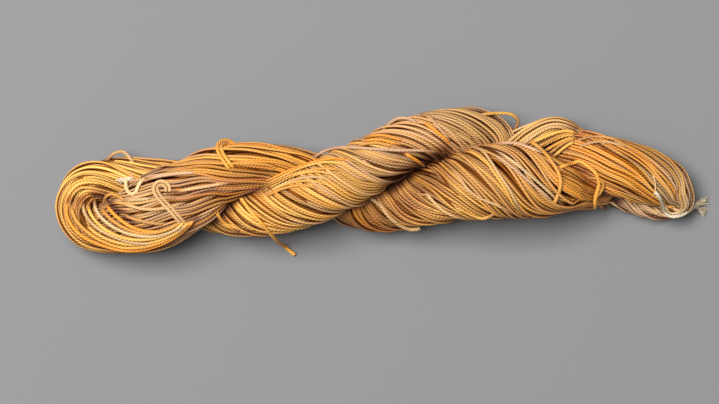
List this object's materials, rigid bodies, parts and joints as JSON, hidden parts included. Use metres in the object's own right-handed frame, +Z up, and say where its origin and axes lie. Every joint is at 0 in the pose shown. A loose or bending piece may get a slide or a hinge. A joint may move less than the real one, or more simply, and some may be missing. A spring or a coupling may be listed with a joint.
{
  "type": "twisted skein of linen yarn",
  "caption": "Twisted hank of variegated golden linen yarn, folded on itself with one end tucked through the loop of the other, with loose ties.",
  "frame": {"origin": "middle of the bounding box on the surface the hank lies on", "axes": "+X along the hank from its fold to its tucked end, +Z up from the surface"},
  "size_m": [0.3081, 0.0706, 0.0461],
  "materials": {
    "yarn": "plied linen, soft sheen",
    "cream_tie": "plied linen, matte",
    "amber_tie": "plied linen, soft sheen"
  },
  "bodies": {
    "root": {"hank": "yarn", "tie_left_knot": "cream_tie", "tie_left_tail": "cream_tie", "tie_middle_loop": "amber_tie", "tie_middle_tail": "amber_tie", "tie_right": "cream_tie", "loose_yarn_arch": "yarn", "loose_yarn_tuck": "amber_tie", "loose_yarn_lower": "yarn"}
  },
  "joints": []
}
